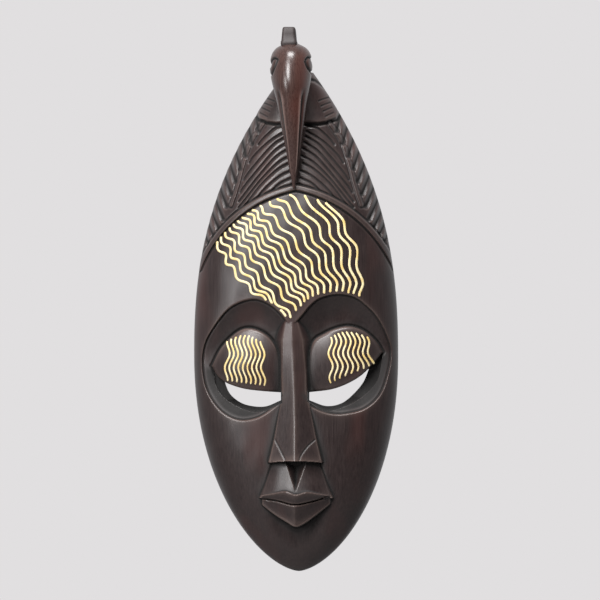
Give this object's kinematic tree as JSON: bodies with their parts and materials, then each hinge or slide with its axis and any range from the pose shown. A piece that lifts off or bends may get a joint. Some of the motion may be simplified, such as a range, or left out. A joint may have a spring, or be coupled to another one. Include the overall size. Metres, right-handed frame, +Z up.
{
  "type": "carved wall mask",
  "caption": "Long oval carved wooden wall mask with a feathered crown, a long-beaked bird's head on top, lowered eyelids and cream wave lines.",
  "frame": {"origin": "centre of the keyhole plate's round hole, on the wall plane at the back of the crown", "axes": "+Z up toward the bird's head, +Y into the wall, +X to the viewer's right; the face looks toward -Y"},
  "size_m": [0.18, 0.082, 0.4756],
  "materials": {
    "stained_wood": "dark brown stain under a satin wax",
    "red_stained_wood": "red-brown stain, polished wax",
    "raw_dowel": "plain turned hardwood",
    "cream_filler": "matt cream filler rubbed level",
    "zinc_steel": "dull zinc plate"
  },
  "bodies": {
    "root": {"mask_body": "stained_wood", "bird_head": "red_stained_wood", "bird_comb": "red_stained_wood", "head_dowel": "raw_dowel", "forehead_lines": "cream_filler", "left_lid_lines": "cream_filler", "right_lid_lines": "cream_filler", "hanger_plate": "zinc_steel", "hanger_screws": "zinc_steel"}
  },
  "joints": []
}
